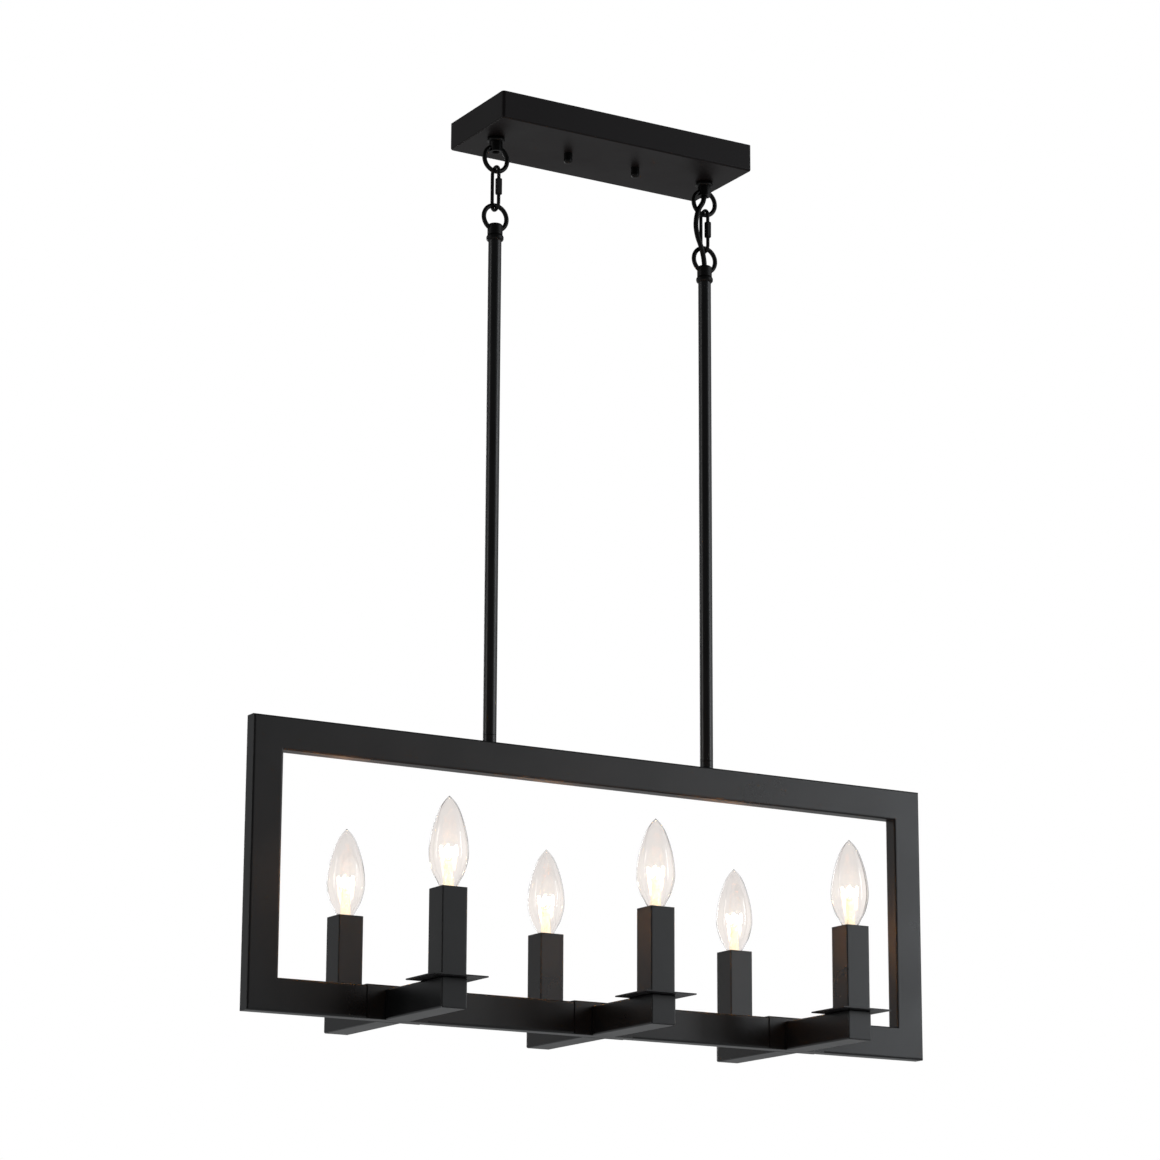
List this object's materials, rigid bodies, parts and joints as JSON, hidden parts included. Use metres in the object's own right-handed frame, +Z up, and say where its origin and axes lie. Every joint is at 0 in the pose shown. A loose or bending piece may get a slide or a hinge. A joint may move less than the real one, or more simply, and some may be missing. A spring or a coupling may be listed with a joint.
{
  "type": "linear island pendant",
  "caption": "Linear island pendant: a rectangular open frame on two rods and quick links under a flat canopy, with candle bulbs on cross arms.",
  "frame": {"origin": "centre of the ceiling bracket's face, on the ceiling plane", "axes": "+Z up into the ceiling, +X along the frame, -Y the side that the picture is taken from"},
  "size_m": [0.72, 0.25, 0.878],
  "materials": {
    "canopy_paint": "satin black paint",
    "frame_paint": "satin black paint",
    "sleeve_paint": "satin black paint",
    "hardware_paint": "black paint over steel",
    "zinc_plate": "zinc plated",
    "cord_sheath": "matte black sheath",
    "socket_plastic": "moulded black plastic",
    "lamp_glass": "clear, lightly tinted",
    "lamp_base": "plated shell"
  },
  "bodies": {
    "canopy": {"canopy": "canopy_paint", "canopy_loop_left": "hardware_paint", "canopy_loop_right": "hardware_paint", "loop_hex_nuts": "zinc_plate", "loop_lock_washers": "zinc_plate", "loop_nipples": "zinc_plate", "mounting_bracket": "zinc_plate", "mounting_studs": "zinc_plate", "stud_lock_nuts": "zinc_plate", "supply_cord_ceiling": "cord_sheath", "supply_cord_loop": "cord_sheath"},
    "link_right": {"quick_link_right": "hardware_paint"},
    "link_left": {"quick_link_left": "hardware_paint"},
    "link_sleeve_right": {"link_sleeve_right": "hardware_paint"},
    "link_sleeve_left": {"link_sleeve_left": "hardware_paint"},
    "cap_nut_left": {"cap_nut_left": "hardware_paint"},
    "cap_nut_right": {"cap_nut_right": "hardware_paint"},
    "bulb_front_left": {"bulb_base_front_left": "lamp_base", "bulb_glass_front_left": "lamp_glass"},
    "bulb_rear_left": {"bulb_base_rear_left": "lamp_base", "bulb_glass_rear_left": "lamp_glass"},
    "bulb_front_middle": {"bulb_base_front_middle": "lamp_base", "bulb_glass_front_middle": "lamp_glass"},
    "bulb_rear_middle": {"bulb_base_rear_middle": "lamp_base", "bulb_glass_rear_middle": "lamp_glass"},
    "bulb_front_right": {"bulb_base_front_right": "lamp_base", "bulb_glass_front_right": "lamp_glass"},
    "bulb_rear_right": {"bulb_base_rear_right": "lamp_base", "bulb_glass_rear_right": "lamp_glass"},
    "pendant": {"arm_end_caps": "frame_paint", "arm_left": "frame_paint", "arm_middle": "frame_paint", "arm_right": "frame_paint", "candle_sleeve_front_left": "sleeve_paint", "candle_sleeve_front_middle": "sleeve_paint", "candle_sleeve_front_right": "sleeve_paint", "candle_sleeve_rear_left": "sleeve_paint", "candle_sleeve_rear_middle": "sleeve_paint", "candle_sleeve_rear_right": "sleeve_paint", "drip_plates": "frame_paint", "frame_bottom_rail": "frame_paint", "frame_stile_left": "frame_paint", "frame_stile_right": "frame_paint", "frame_top_rail": "frame_paint", "rod_bottom_nipples": "zinc_plate", "rod_collars": "hardware_paint", "rod_couplings": "frame_paint", "rod_left": "frame_paint", "rod_loop_left": "hardware_paint", "rod_loop_right": "hardware_paint", "rod_right": "frame_paint", "rod_top_nipples": "zinc_plate", "saddle_left": "frame_paint", "saddle_middle": "frame_paint", "saddle_right": "frame_paint", "socket_nuts": "zinc_plate", "socket_stems": "zinc_plate", "sockets": "socket_plastic", "supply_cord_rod": "cord_sheath"}
  },
  "joints": [
    {"name": "link_right_swing", "type": "hinge", "parent": "canopy", "child": "link_right", "pos_m": [0.118, 0, -0.0605], "axis": [1, 0, 0], "range_deg": [-40, 40], "deforming": ["supply_cord_loop"]},
    {"name": "pendant_swing", "type": "hinge", "parent": "link_right", "child": "pendant", "pos_m": [0.118, 0, -0.0952], "axis": [1, 0, 0], "range_deg": [-30, 30]},
    {"name": "link_left_swing", "type": "hinge", "parent": "canopy", "child": "link_left", "pos_m": [-0.118, 0, -0.0605], "axis": [1, 0, 0], "range_deg": [-40, 40]},
    {"name": "link_sleeve_right_slide", "type": "slide", "parent": "link_right", "child": "link_sleeve_right", "axis": [0, 0, 1], "range_m": [0, 0.007]},
    {"name": "link_sleeve_left_slide", "type": "slide", "parent": "link_left", "child": "link_sleeve_left", "axis": [0, 0, 1], "range_m": [0, 0.007]},
    {"name": "cap_nut_left_slide", "type": "slide", "parent": "canopy", "child": "cap_nut_left", "axis": [0, 0, -1], "range_m": [0, 0.012]},
    {"name": "cap_nut_right_slide", "type": "slide", "parent": "canopy", "child": "cap_nut_right", "axis": [0, 0, -1], "range_m": [0, 0.012]},
    {"name": "bulb_front_left_slide", "type": "slide", "parent": "pendant", "child": "bulb_front_left", "axis": [0, 0, 1], "range_m": [0, 0.025]},
    {"name": "bulb_rear_left_slide", "type": "slide", "parent": "pendant", "child": "bulb_rear_left", "axis": [0, 0, 1], "range_m": [0, 0.025]},
    {"name": "bulb_front_middle_slide", "type": "slide", "parent": "pendant", "child": "bulb_front_middle", "axis": [0, 0, 1], "range_m": [0, 0.025]},
    {"name": "bulb_rear_middle_slide", "type": "slide", "parent": "pendant", "child": "bulb_rear_middle", "axis": [0, 0, 1], "range_m": [0, 0.025]},
    {"name": "bulb_front_right_slide", "type": "slide", "parent": "pendant", "child": "bulb_front_right", "axis": [0, 0, 1], "range_m": [0, 0.025]},
    {"name": "bulb_rear_right_slide", "type": "slide", "parent": "pendant", "child": "bulb_rear_right", "axis": [0, 0, 1], "range_m": [0, 0.025]}
  ],
  "couplings": [
    {"joint": "link_left_swing", "follows": "link_right_swing", "ratio": 1}
  ]
}
